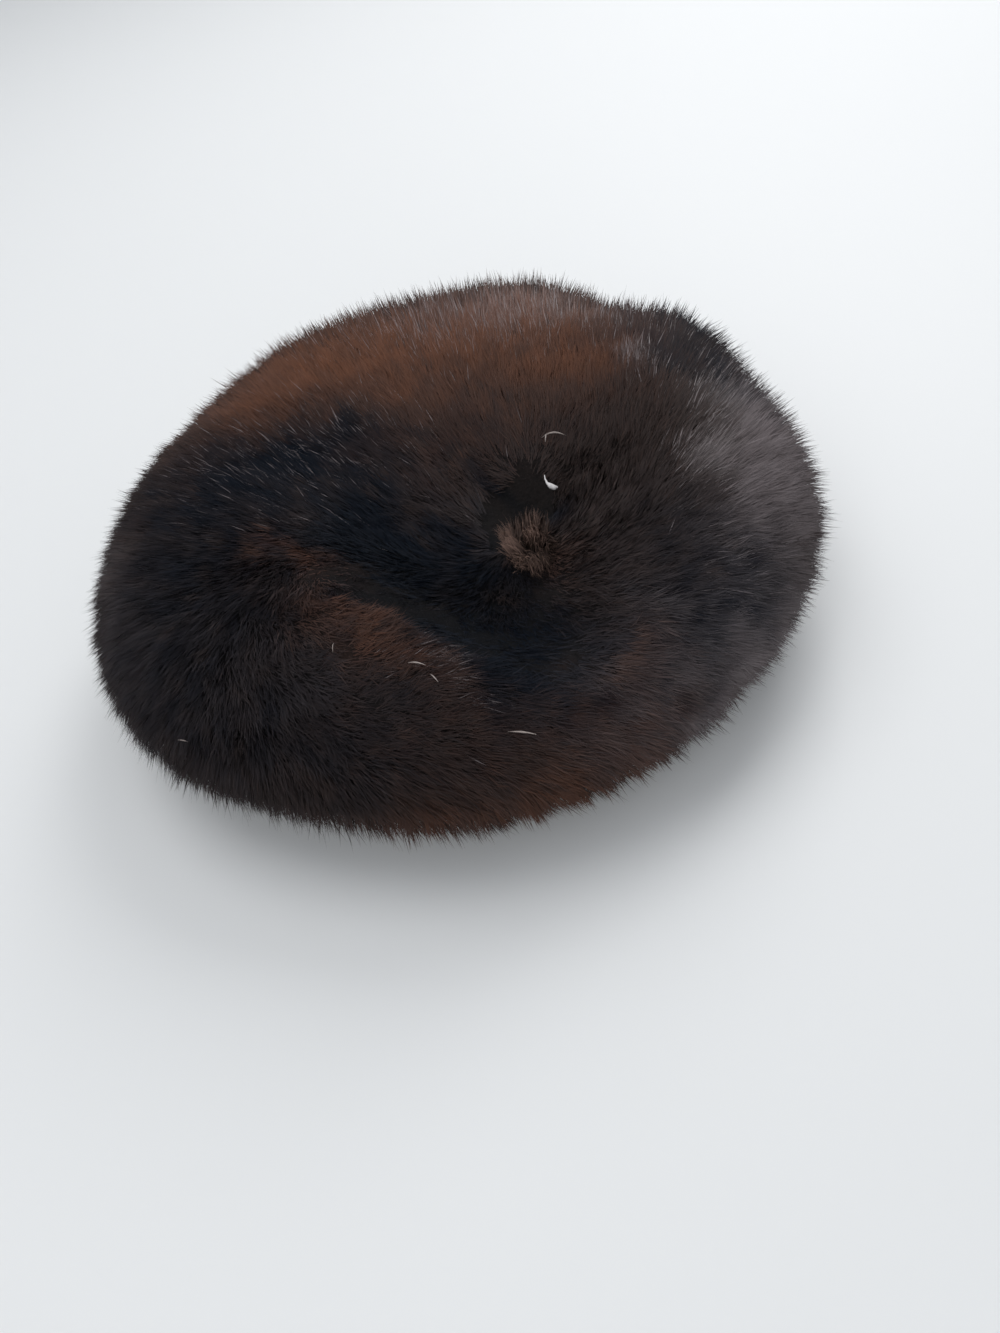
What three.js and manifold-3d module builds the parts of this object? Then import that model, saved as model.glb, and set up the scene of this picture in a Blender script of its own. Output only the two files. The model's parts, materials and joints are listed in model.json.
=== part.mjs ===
// A slouched fur beret: a wide soft crown drawn together at an off-centre gather, a full rim, and an
// underside that turns in to the head opening. Millimetres, +Z up, front towards -Y.
// The pile is rows of locks fused to a backing, and it lies over a thin wall of hide.
import * as THREE from "three";
import Module from "manifold-3d";
import { mergeVertices } from "three/addons/utils/BufferGeometryUtils.js";

const wasm = await Module();
wasm.setup();

// Driving dimensions
const RIM_REACH = 141; // from the middle of the hat to the rim, sideways
const DEPTH_SHARE = 0.965; // front to back, as a share of side to side
const LEAN = 9; // how much the crown rises from the middle to its back
const HIDE_THICKNESS = 1.5;
const TURNED_EDGE_START = 1.8; // from here to the head opening the hide is turned back on itself
const GAP = 0.3; // between neighbouring pieces

// Rows of a short table, as objects with the columns' names
const table = (columns, rows) =>
  rows.map((row) => Object.fromEntries(columns.map((column, i) => [column, row[i]])));

// Half a section of the hat, from the gather (way 0) over the rim (way 1) to the head opening (way 2).
// Reach is a share of the rim's reach, pile is the depth of fur down to the hide.
const SECTION = table(
  ["way", "reach", "height", "pile"],
  [
    [0.0, 0.0, 74, 9],
    [0.12, 0.13, 76, 9.5],
    [0.28, 0.33, 82, 10.5],
    [0.45, 0.54, 85, 11],
    [0.62, 0.74, 79.5, 11.5],
    [0.77, 0.885, 68.5, 12],
    [0.89, 0.97, 54, 12.5],
    [1.0, 1.0, 38, 13],
    [1.12, 0.975, 22, 12],
    [1.28, 0.905, 8, 10],
    [1.45, 0.82, 0, 8],
    [1.72, 0.73, 0, 6],
    [1.88, 0.68, 2, 5],
    [2.0, 0.65, 6, 4],
  ],
);

// Where the crown is drawn together and where the head opening lies, off the middle of the rim
const GATHER = { x: 27, y: -28 };
const OPENING = { x: 6, y: -6 };

// Soft corners and flats of the rim: angle from +X towards the back, how wide, and how far out
const RIM_LOBES = table(
  ["angle", "width", "swell"],
  [
    [6, 12, -6],
    [24, 8, 1.5],
    [42, 8, -4.5],
    [68, 13, 4.5],
    [108, 14, 3.5],
    [138, 14, -3],
    [200, 22, 2],
    [238, 15, -3],
    [330, 22, 2],
  ],
);

// Dents and swells of the crown: place, the way that it runs, its half sizes, and how far up
const CROWN_FOLDS = table(
  ["name", "x", "y", "turn", "along", "across", "rise"],
  [
    ["gather dimple", 29, -27, -60, 20, 13, -10],
    ["diagonal valley", -2, -66, -58, 62, 25, -17],
    ["ridge before the valley", -34, -84, -58, 44, 18, 8],
    ["right swell", 92, -20, 75, 50, 26, 6],
    ["left hollow", -48, 18, -20, 34, 20, -7],
    ["groove between the back and right puffs", 94, 48, 105, 30, 9, -5],
  ],
);
const FOLDS_START = 20; // height at which the folds begin to show
const FOLDS_FULL = 60; // height from which they show in full

// Locks of the pile
const COLUMNS = 60; // a ridge or a parting each, so half as many locks in a row
const SWIRL = 0.35; // radians that the locks turn from the gather to the opening
const LOCK_RISE = 2.2;
const ROOT_SINK = 0.6;
const TIP_NOTCH = 0.35; // how far the partings cut back into a row, as a share of its length
const LOCK_VARIATION = 0.3;
const BELLY_SHARE = 0.45; // where a lock is fullest, as a share of its length
const RIDGE_BELLY = 0.8; // how far the belly and the partings rise, as shares of the lock's tip
const PARTING_BELLY = 0.25;
const PARTING_TIP = 0.15;
const RIDGE_END = 0.02; // how far a lock's tip stays back from the row's end, as a share of its length
const NOTCH_LEAST = 0.7;
const NOISE_WAVES = { row: 12.9898, column: 78.233, stretch: 43758.5453 }; // spread a lock's variation evenly
const ROW_NUMBER_STEP = 0.01;
const CROWN_ROWS = [0.06, 0.2, 0.34, 0.48, 0.62, 0.76, 0.88, 1];
const UNDERSIDE_ROWS = [1, 1.15, 1.3, 1.45];
const PRESSED_RING = [1.47, 1.7]; // lies flat on whatever the hat stands on
const EDGE_ROWS = [1.76, 2];
const CROWN_WALL_STEPS = 9;
const UNDERSIDE_WALL_STEPS = 5;

// Pale tuft of underfur beside the gather, from its root to the middle of its tips
const TUFT_ROOT = { angle: 262, way: 0.16, rise: 0.5 };
const TUFT_TIPS = { angle: 268, way: 0.28, spread: 26, rise: 3 };
const TUFT_LOCKS = 5;
const TUFT_LOCK_RADIUS = 3.8;
const TUFT_HEAD_RADIUS = 4.5;

const radians = THREE.MathUtils.degToRad;
const { clamp, lerp, smoothstep } = THREE.MathUtils;

// A repeatable value from 0 to 1 for a lock, from its row and column
function variation(row, column) {
  const wave = Math.sin(row * NOISE_WAVES.row + column * NOISE_WAVES.column) * NOISE_WAVES.stretch;
  return wave - Math.floor(wave);
}

// Smooth curve through one column of the section table
function sectionValue(way, column) {
  const last = SECTION.length - 1;
  let i = 0;
  while (i < last - 1 && way > SECTION[i + 1].way) i++;
  const slopeAt = (k) => {
    const before = SECTION[Math.max(k - 1, 0)];
    const after = SECTION[Math.min(k + 1, last)];
    const level = k === 0 && column === "height";
    return level ? 0 : (after[column] - before[column]) / (after.way - before.way);
  };
  const from = SECTION[i];
  const to = SECTION[i + 1];
  const span = to.way - from.way;
  const t = (way - from.way) / span;
  const t2 = t * t;
  const t3 = t2 * t;
  return (
    (2 * t3 - 3 * t2 + 1) * from[column] +
    (t3 - 2 * t2 + t) * span * slopeAt(i) +
    (3 * t2 - 2 * t3) * to[column] +
    (t3 - t2) * span * slopeAt(i + 1)
  );
}

// How far the rim's lobes push the outline out at an angle
function lobeSwell(angle) {
  const degrees = THREE.MathUtils.radToDeg(angle);
  return RIM_LOBES.reduce((sum, lobe) => {
    const off = THREE.MathUtils.euclideanModulo(degrees - lobe.angle + 180, 360) - 180;
    return sum + lobe.swell * Math.exp(-((off / lobe.width) ** 2));
  }, 0);
}

// How far the crown's folds lift or lower the surface at a place
function foldRise(x, y) {
  return CROWN_FOLDS.reduce((sum, fold) => {
    const c = Math.cos(radians(fold.turn));
    const s = Math.sin(radians(fold.turn));
    const u = (x - fold.x) * c + (y - fold.y) * s;
    const w = (y - fold.y) * c - (x - fold.x) * s;
    return sum + fold.rise * Math.exp(-((u / fold.along) ** 2) - (w / fold.across) ** 2);
  }, 0);
}

// Point on the outer surface of the fur, without its locks
function surfacePoint(angle, way, foldShare = 1) {
  const onCrown = way < 1;
  const height = sectionValue(way, "height");
  const lobeShare = onCrown ? smoothstep(way, 0, 1) : smoothstep(2 - way, 0, 0.8);
  const reach = RIM_REACH * sectionValue(way, "reach") + lobeSwell(angle) * lobeShare;
  const offShare = onCrown ? 1 - smoothstep(way, 0, 1) : smoothstep(way - 1, 0, 1);
  const middle = onCrown ? GATHER : OPENING;
  const x = middle.x * offShare + reach * Math.cos(angle);
  const y = middle.y * offShare + reach * DEPTH_SHARE * Math.sin(angle);
  const share = clamp((height - FOLDS_START) / (FOLDS_FULL - FOLDS_START), 0, 1);
  const z = height + share * (foldShare * foldRise(x, y) + (LEAN * y) / RIM_REACH);
  return new THREE.Vector3(x, y, Math.max(z, 0));
}

// Outward normal of that surface without its folds, so that layers under a fold stay in order
function surfaceNormal(angle, way) {
  const step = 0.01;
  const from = clamp(way - step, 0.02, 2 - 2 * step);
  const along = surfacePoint(angle, from + 2 * step, 0).sub(surfacePoint(angle, from, 0));
  const place = Math.max(way, 0.02);
  const around = surfacePoint(angle + step, place, 0).sub(surfacePoint(angle - step, place, 0));
  return along.cross(around).normalize();
}

// Point below the surface of the fur, or above it where the depth is negative
function layerPoint(angle, way, depth) {
  const point = surfacePoint(angle, way).addScaledVector(surfaceNormal(angle, way), -depth);
  return point.setZ(Math.max(point.z, 0));
}

// Angle of a column of the mesh, which swirls on its way
const columnAngle = (column, way) => (2 * Math.PI * column) / COLUMNS + SWIRL * way;

// A ring of points, each at a way and depth worked out from its column
function ring(wayOf, depthOf) {
  return Array.from({ length: COLUMNS }, (_, column) => {
    const way = wayOf(column);
    return layerPoint(columnAngle(column, way), way, depthOf(column, way));
  });
}
const plainRing = (way, depthAt) => ring(() => way, () => depthAt(way));

// The middle point that closes a layer at the gather
function pole(depth) {
  return [surfacePoint(0, 0).add(new THREE.Vector3(0, 0, -depth))];
}

// Three rings of one row of locks: its roots, its bellies, and its tips
function lockRow(start, end, row) {
  const length = end - start;
  const isRidge = (column) => (column + row) % 2 === 0;
  const rise = (column) => LOCK_RISE * (1 + LOCK_VARIATION * (variation(row, column) - 0.5));
  const notch = (column) => TIP_NOTCH * length * (NOTCH_LEAST + LOCK_VARIATION * variation(column, row));
  return [
    ring(() => start, () => ROOT_SINK),
    ring(
      () => start + BELLY_SHARE * length,
      (column) => -rise(column) * (isRidge(column) ? RIDGE_BELLY : PARTING_BELLY),
    ),
    ring(
      (column) => end - (isRidge(column) ? RIDGE_END * length : notch(column)),
      (column) => -rise(column) * (isRidge(column) ? 1 : PARTING_TIP),
    ),
  ];
}

// Rows of locks between ends, each row numbered by where it ends so that no two vary alike
function lockRows(ends) {
  return ends.slice(1).flatMap((end, i) => lockRow(ends[i], end, Math.round(end / ROW_NUMBER_STEP)));
}

// Triangles between two rings, each of many points or one point
function stitch(near, far, isFlipped = false) {
  const triangles = [];
  for (let j = 0; j < COLUMNS; j++) {
    const next = (j + 1) % COLUMNS;
    if (far.length > 1) triangles.push([near[j % near.length], far[j], far[next]]);
    if (near.length > 1) triangles.push([near[j], far[next % far.length], near[next]]);
  }
  return isFlipped ? triangles.map(([a, b, c]) => [a, c, b]) : triangles;
}

// Closed body between an outside and an inside, each a list of rings from the same start to the same end
function shell(outside, inside) {
  const triangles = [];
  for (let i = 1; i < outside.length; i++) triangles.push(...stitch(outside[i - 1], outside[i]));
  for (let i = 1; i < inside.length; i++) triangles.push(...stitch(inside[i - 1], inside[i], true));
  triangles.push(...stitch(outside.at(-1), inside.at(-1)));
  if (outside[0].length > 1) triangles.push(...stitch(inside[0], outside[0]));
  const positions = triangles.flat().flatMap((point) => point.toArray());
  const geometry = new THREE.BufferGeometry();
  geometry.setAttribute("position", new THREE.Float32BufferAttribute(positions, 3));
  geometry.computeVertexNormals();
  return geometry;
}

// Rings of a layer at even ways
function wallRings(from, to, steps, depthAt) {
  return Array.from({ length: steps + 1 }, (_, i) => plainRing(lerp(from, to, i / steps), depthAt));
}

const pileDepth = (way) => sectionValue(way, "pile");
const hideOutside = (way) => pileDepth(way) + GAP;
const hideInside = (way) => pileDepth(way) + GAP + HIDE_THICKNESS;

// The seam at the rim leaves half the gap on each side
const SEAM_STEP = GAP / 2 / surfacePoint(0, 0.99).distanceTo(surfacePoint(0, 1)) / 100;
const CROWN_START = CROWN_ROWS[0];
const CROWN_END = 1 - SEAM_STEP;
const UNDERSIDE_START = 1 + SEAM_STEP;

const crownWall = (depthAt) => [
  pole(depthAt(0)),
  ...wallRings(CROWN_START, CROWN_END, CROWN_WALL_STEPS, depthAt),
];
const undersideWall = (depthAt) => wallRings(UNDERSIDE_START, 2, UNDERSIDE_WALL_STEPS, depthAt);

function crownFur() {
  const rows = lockRows([...CROWN_ROWS.slice(0, -1), CROWN_END]);
  const rimRing = plainRing(CROWN_END, () => -LOCK_RISE / 2);
  return shell([pole(0), ...rows, rimRing], crownWall(pileDepth));
}

function undersideFur() {
  const rows = lockRows([UNDERSIDE_START, ...UNDERSIDE_ROWS.slice(1)]);
  const pressed = PRESSED_RING.map((way) => plainRing(way, () => 0));
  const edge = lockRows(EDGE_ROWS);
  const endRing = plainRing(2, () => 0);
  return shell([...rows, ...pressed, ...edge, endRing], undersideWall(pileDepth));
}

const crownHide = () => shell(crownWall(hideOutside), crownWall(hideInside));

function undersideHide() {
  const turnedBack = (way) => hideInside(way) + (way > TURNED_EDGE_START ? HIDE_THICKNESS : 0);
  return shell(undersideWall(hideOutside), undersideWall(turnedBack));
}

// Solid of a geometry, and a geometry of a solid
function solidOf(geometry) {
  const bare = new THREE.BufferGeometry();
  bare.setAttribute("position", geometry.getAttribute("position"));
  bare.setIndex(geometry.index);
  const merged = mergeVertices(bare, 1e-3);
  const triVerts = new Uint32Array(merged.index.array);
  const vertProperties = merged.getAttribute("position").array;
  return new wasm.Manifold(new wasm.Mesh({ numProp: 3, vertProperties, triVerts }));
}

function geometryOf(solid) {
  const mesh = solid.getMesh();
  const geometry = new THREE.BufferGeometry();
  geometry.setAttribute("position", new THREE.BufferAttribute(mesh.vertProperties, 3));
  geometry.setIndex(new THREE.BufferAttribute(mesh.triVerts, 1));
  geometry.computeVertexNormals();
  return geometry;
}

// Tapered lock from its root to its tip
function tuftLock(root, tip) {
  const length = root.distanceTo(tip);
  const lock = new THREE.CylinderGeometry(TUFT_LOCK_RADIUS / 4, TUFT_LOCK_RADIUS, length, 6);
  const up = new THREE.Vector3(0, 1, 0);
  const turn = new THREE.Quaternion().setFromUnitVectors(up, tip.clone().sub(root).normalize());
  const middle = root.clone().lerp(tip, 0.5);
  return lock.applyQuaternion(turn).translate(middle.x, middle.y, middle.z);
}

// The tuft's locks fused to a small head, which lies on the crown's fur
function crownTuft(furGeometry) {
  const root = layerPoint(radians(TUFT_ROOT.angle), TUFT_ROOT.way, -TUFT_ROOT.rise);
  const head = new THREE.SphereGeometry(TUFT_HEAD_RADIUS, 8, 6).translate(root.x, root.y, root.z);
  let tuft = solidOf(head);
  for (let i = 0; i < TUFT_LOCKS; i++) {
    const angle = TUFT_TIPS.angle + TUFT_TIPS.spread * (i / (TUFT_LOCKS - 1) - 0.5);
    const rise = TUFT_TIPS.rise + LOCK_VARIATION * (i % 2);
    tuft = tuft.add(solidOf(tuftLock(root, layerPoint(radians(angle), TUFT_TIPS.way, -rise))));
  }
  const bed = solidOf(furGeometry).translate([0, 0, GAP]);
  const bodies = tuft.subtract(bed).decompose();
  return geometryOf(bodies.sort((a, b) => b.volume() - a.volume())[0]);
}

const fur = (color) => new THREE.MeshStandardMaterial({ color, roughness: 0.6, metalness: 0 });
const hide = (color) => new THREE.MeshStandardMaterial({ color, roughness: 0.8, metalness: 0 });

function piece(name, geometry, material) {
  const mesh = new THREE.Mesh(geometry, material);
  mesh.name = name;
  return mesh;
}

const hat = new THREE.Group();
const crownFurGeometry = crownFur();
hat.add(
  piece("crown_fur", crownFurGeometry, fur(0x3a241b)),
  piece("underside_fur", undersideFur(), fur(0x2b1b17)),
  piece("crown_hide", crownHide(), hide(0xc9b79c)),
  piece("underside_hide", undersideHide(), hide(0xc9b79c)),
  piece("crown_tuft", crownTuft(crownFurGeometry), fur(0x8a6a55)),
);

// The middle of the hat's box stands at the origin
const middle = new THREE.Box3().setFromObject(hat, true).getCenter(new THREE.Vector3());
hat.position.set(-middle.x, -middle.y, 0);

export default hat;
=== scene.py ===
# %% [markdown]
# # A slouched beret of dark fur
# A fur beret is a wide, soft bag of thin hide with its pile outside. It is drawn together near the front of
# the crown, and its rim turns under to a round head opening. This lesson dresses the plain solids of such a
# hat: walls of hide and underfur are grown from one formula, and the fur itself is real strands, made as
# joined meshes from arrays, because that is the only way to get a furry outline from every side.

import json
import math

import bpy
import numpy as np
from mathutils import Matrix, Vector

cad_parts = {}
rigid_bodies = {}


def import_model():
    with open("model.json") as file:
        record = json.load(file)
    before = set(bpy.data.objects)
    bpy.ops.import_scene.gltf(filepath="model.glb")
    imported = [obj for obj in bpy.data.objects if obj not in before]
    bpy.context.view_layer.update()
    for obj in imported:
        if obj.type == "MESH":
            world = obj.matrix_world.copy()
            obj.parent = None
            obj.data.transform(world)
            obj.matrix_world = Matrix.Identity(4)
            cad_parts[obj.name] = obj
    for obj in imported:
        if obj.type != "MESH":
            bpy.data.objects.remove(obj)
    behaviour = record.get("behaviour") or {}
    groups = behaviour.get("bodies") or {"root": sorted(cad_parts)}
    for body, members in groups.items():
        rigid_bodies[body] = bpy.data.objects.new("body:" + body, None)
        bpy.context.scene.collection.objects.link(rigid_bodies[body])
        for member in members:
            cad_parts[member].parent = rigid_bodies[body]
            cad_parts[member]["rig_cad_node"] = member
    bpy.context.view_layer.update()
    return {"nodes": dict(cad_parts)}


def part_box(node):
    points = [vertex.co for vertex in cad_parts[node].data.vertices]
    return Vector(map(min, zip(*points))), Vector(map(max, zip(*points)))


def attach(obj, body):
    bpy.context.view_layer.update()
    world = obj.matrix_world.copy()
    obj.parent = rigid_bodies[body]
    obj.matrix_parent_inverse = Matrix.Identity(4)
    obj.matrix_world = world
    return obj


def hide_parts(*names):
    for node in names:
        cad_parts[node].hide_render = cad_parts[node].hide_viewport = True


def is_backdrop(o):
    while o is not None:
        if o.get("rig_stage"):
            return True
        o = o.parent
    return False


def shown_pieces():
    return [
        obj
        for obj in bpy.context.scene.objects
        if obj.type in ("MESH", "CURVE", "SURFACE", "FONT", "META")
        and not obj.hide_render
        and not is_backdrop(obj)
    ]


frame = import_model()
MM = 0.001
print("solids:", ", ".join(sorted(frame["nodes"])))

# %% [markdown]
# ## The form of the hat
# Every layer of the hat follows the same soft form, so it is written once, as a function. A place on the hat
# has an angle round it and a way from the gather (0) over the rim (1) to the head opening (2). A short table
# gives half a section, another pushes the rim in and out, and a third lays folds over the crown. Working
# from a formula, and not from the solids' own corners, keeps each layer smooth at any fineness.

# %% Driving sizes and tables, in millimetres
RIM_REACH = 141
DEPTH_SHARE = 0.965
LEAN = 9
GATHER = (27, -28)
OPENING = (6, -6)
HIDE_THICKNESS = 1.5
TURNED_EDGE_START, TURNED_EDGE_STEP = 1.8, 0.02
GAP = 0.3
FOLDS_START, FOLDS_FULL = 20, 60
LOBES_END = 0.8  # over this last part of the way the rim's soft corners fade out


def table(columns, *rows):
    """Rows of a short table, as one array for each named column."""
    return {name: np.array(values) for name, values in zip(columns.split(), zip(*rows))}


SECTION = table(
    "way reach height pile",
    (0.0, 0.0, 74.0, 9.0),
    (0.12, 0.13, 76.0, 9.5),
    (0.28, 0.33, 82.0, 10.5),
    (0.45, 0.54, 85.0, 11.0),
    (0.62, 0.74, 79.5, 11.5),
    (0.77, 0.885, 68.5, 12.0),
    (0.89, 0.97, 54.0, 12.5),
    (1.0, 1.0, 38.0, 13.0),
    (1.12, 0.975, 22.0, 12.0),
    (1.28, 0.905, 8.0, 10.0),
    (1.45, 0.82, 0.0, 8.0),
    (1.72, 0.73, 0.0, 6.0),
    (1.88, 0.68, 2.0, 5.0),
    (2.0, 0.65, 6.0, 4.0),
)
RIM_LOBES = table(
    "angle width swell",
    (6, 12, -6),
    (24, 8, 1.5),
    (42, 8, -4.5),
    (68, 13, 4.5),
    (108, 14, 3.5),
    (138, 14, -3),
    (200, 22, 2),
    (238, 15, -3),
    (330, 22, 2),
)
CROWN_FOLDS = table(
    "name x y turn along across rise",
    ("gather dimple", 29, -27, -60, 20, 13, -10),
    ("diagonal valley", -2, -66, -58, 62, 25, -17),
    ("ridge before the valley", -34, -84, -58, 44, 18, 8),
    ("right swell", 92, -20, 75, 50, 26, 6),
    ("left hollow", -48, 18, -20, 34, 20, -7),
    ("groove between the back and right puffs", 94, 48, 105, 30, 9, -5),
)
print(len(SECTION["way"]), "rows of the section,", len(CROWN_FOLDS["name"]), "folds")


# %% Curves and folds of the form
def smoothstep(value, start=0.0, end=1.0):
    t = np.clip((value - start) / (end - start), 0, 1)
    return t * t * (3 - 2 * t)


def section_value(way, column):
    """Smooth curve through one column of the section table."""
    ways, values = SECTION["way"], SECTION[column]
    slopes = np.gradient(values, ways, edge_order=1)
    slopes[1:-1] = (values[2:] - values[:-2]) / (ways[2:] - ways[:-2])
    if column == "height":
        slopes[0] = 0
    i = np.clip(np.searchsorted(ways, way, side="right") - 1, 0, len(ways) - 2)
    span = ways[i + 1] - ways[i]
    t = (way - ways[i]) / span
    return (
        (2 * t**3 - 3 * t**2 + 1) * values[i]
        + (t**3 - 2 * t**2 + t) * span * slopes[i]
        + (3 * t**2 - 2 * t**3) * values[i + 1]
        + (t**3 - t**2) * span * slopes[i + 1]
    )


def lobe_swell(angle):
    """How far the rim's soft corners push the outline out."""
    total = np.zeros_like(angle)
    for centre, width, swell in zip(*RIM_LOBES.values()):
        off = (np.degrees(angle) - centre + 180) % 360 - 180
        total = total + swell * np.exp(-((off / width) ** 2))
    return total


def spot(x, y, row, spots):
    """Soft oval spot of a table, 1 in its middle and 0 far from it."""
    turn = math.radians(spots["turn"][row])
    dx, dy = x - spots["x"][row], y - spots["y"][row]
    along = (dx * math.cos(turn) + dy * math.sin(turn)) / spots["along"][row]
    across = (dy * math.cos(turn) - dx * math.sin(turn)) / spots["across"][row]
    return np.exp(-(along**2) - across**2)


def spots_near(points, spots, column):
    """For each spot of a table: its number in one column, and how near the points are to it."""
    x, y = points[..., 0], points[..., 1]
    return [(number, spot(x, y, row, spots)) for row, number in enumerate(spots[column])]


def fold_rise(x, y):
    """How far the crown's folds lift or lower the surface."""
    return sum(rise * spot(x, y, row, CROWN_FOLDS) for row, rise in enumerate(CROWN_FOLDS["rise"]))


def surface_mm(angle, way, fold_share=1.0):
    """Outer surface of the fur, in millimetres from the middle of the rim."""
    on_crown = way < 1
    height = section_value(way, "height")
    lobe_share = np.where(on_crown, smoothstep(way), smoothstep(2 - way, 0, LOBES_END))
    reach = RIM_REACH * section_value(way, "reach") + lobe_swell(angle) * lobe_share
    off_share = np.where(on_crown, 1 - smoothstep(way), smoothstep(way - 1))
    x = np.where(on_crown, GATHER[0], OPENING[0]) * off_share + reach * np.cos(angle)
    y = np.where(on_crown, GATHER[1], OPENING[1]) * off_share + reach * DEPTH_SHARE * np.sin(angle)
    share = np.clip((height - FOLDS_START) / (FOLDS_FULL - FOLDS_START), 0, 1)
    z = height + share * (fold_share * fold_rise(x, y) + LEAN * y / RIM_REACH)
    return np.stack([x, y, np.maximum(z, 0)], -1)


# %% [markdown]
# The formula's own zero is the middle of the rim, but the solids stand with the middle of their box at the
# origin. The two are lined up on the hide of the crown, whose outline both know.


# %% Layers below the surface, and where they lie in the frame
def unit(vectors):
    return vectors / np.maximum(np.linalg.norm(vectors, axis=-1, keepdims=True), 1e-12)


def directions(angle, way, fold_share=1.0):
    """Unit vectors on the surface: towards the opening, round the hat, and out of the fur."""
    step = 0.01
    place = np.clip(way, 2 * step, 2 - step)
    along = surface_mm(angle, place + step / 2, fold_share) - surface_mm(angle, place - step / 2, fold_share)
    around = surface_mm(angle + step, place, fold_share) - surface_mm(angle - step, place, fold_share)
    out = unit(np.cross(along, around))
    along = unit(along)
    return along, np.cross(out, along), out


def layer_mm(angle, way, depth):
    """A layer below the surface of the fur, never lower than what the hat lies on."""
    out = directions(angle, way, fold_share=0.0)[2]
    points = surface_mm(angle, way) - out * np.asarray(depth)[..., None]
    points[..., 2] = np.maximum(points[..., 2], 0)
    return points


# Enough places on the hide of the crown to find its outline.
ring_angles, ring_ways = np.meshgrid(np.linspace(0, 2 * math.pi, 361), np.linspace(0.1, 1, 91))
hide_points = layer_mm(ring_angles, ring_ways, section_value(ring_ways, "pile") + GAP).reshape(-1, 3)
hide_low, hide_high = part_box("crown_hide")
OFFSET = np.array((hide_low + hide_high) / 2 / MM) - (hide_points.min(0) + hide_points.max(0)) / 2
OFFSET[2] = 0
print("offset in mm:", OFFSET.round(2))


def in_frame(points_mm):
    """Points of the form, in metres in the solids' frame."""
    return (points_mm + OFFSET) * MM


# %% [markdown]
# ## Camera
# The hat is seen from the front and above, with the picture turned a little, so that the hat seems to lean.
# The lens and the place are given. The camera turns to put the middle of the hat where it lies in the
# picture, off the picture's own middle, because a shifted lens would stretch the rim.

# %% Camera
PICTURE = (1000, 1333)
SENSOR = 36.0
FOCAL = 1001.0  # in pixels of the picture
LOOK_DOWN = math.radians(38)
ROLL = math.radians(15.6)
DISTANCE = 401
AIM = (0, 0, 45)
AIM_PIXEL = (443.1, 518.2)


def make_camera():
    back = Vector((0, -math.cos(LOOK_DOWN), math.sin(LOOK_DOWN)))
    level_up = Vector((0, math.sin(LOOK_DOWN), math.cos(LOOK_DOWN)))
    level_right = Vector((1, 0, 0))
    right = math.cos(ROLL) * level_right - math.sin(ROLL) * level_up
    up = math.sin(ROLL) * level_right + math.cos(ROLL) * level_up
    basis = Matrix((right, up, back)).transposed()
    aside = (AIM_PIXEL[0] - PICTURE[0] / 2) / FOCAL
    above = -(AIM_PIXEL[1] - PICTURE[1] / 2) / FOCAL
    turn = Vector((aside, above, -1)).rotation_difference(Vector((0, 0, -1)))
    data = bpy.data.cameras.new("camera")
    data.sensor_width = SENSOR
    data.lens = SENSOR * FOCAL / max(PICTURE)
    camera = bpy.data.objects.new("camera", data)
    place = Vector(in_frame(np.array(AIM))) + back * DISTANCE * MM
    camera.matrix_world = Matrix.Translation(place) @ (basis @ turn.to_matrix()).to_4x4()
    bpy.context.scene.collection.objects.link(camera)
    bpy.context.scene.camera = camera
    return camera


camera = make_camera()
print("camera at", [round(c, 3) for c in camera.matrix_world.translation])

# %% [markdown]
# ## Light and floor
# Dark fur shows its form by its gloss, so the light matters as much as the colour. One broad light stands
# high behind the hat and to the right, and lights the pale edge along its back and the sheen on its right
# side, which are painted into the fur's colour as well. A weaker one overhead and another in front fill the
# shade. The floor is a plain pale sweep that curves up far from the hat on all sides, so that no edge of it
# shows from any view.


# %% Helpers for objects and materials
def add_object(name, data):
    made = bpy.data.objects.new(name, data)
    bpy.context.scene.collection.objects.link(made)
    return made


def smooth_mesh(name, corners, faces):
    mesh = bpy.data.meshes.new(name)
    mesh.from_pydata(corners, [], faces)
    mesh.shade_smooth()
    return mesh


def new_material(name):
    """A material, its node tree and its shader."""
    material = bpy.data.materials.new(name)
    material.use_nodes = True
    tree = material.node_tree
    return material, tree, tree.nodes["Principled BSDF"]


def fill(node, inputs):
    """Fill inputs of a node by name: another node's socket is linked, and a plain value is set."""
    for name, value in inputs.items():
        if isinstance(value, bpy.types.NodeSocket):
            node.id_data.links.new(value, node.inputs[name])
        else:
            node.inputs[name].default_value = value


def hand_over(made, material, slot, *stands_for):
    """Give a piece its material, set it on the root body and hide the solids that it stands for; the slot is
    not used.
    """
    made.data.materials.append(material)
    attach(made, "root")
    if stands_for:
        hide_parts(*stands_for)


# %% Floor, in metres
FLOOR_RINGS = (0.05, 0.3, 0.8)
FLOOR_FLAT = 1.7
FLOOR_CURVE = 0.8
FLOOR_WALL = 1.5
FLOOR_SIDES, FLOOR_CURVE_STEPS = 96, 13


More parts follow.
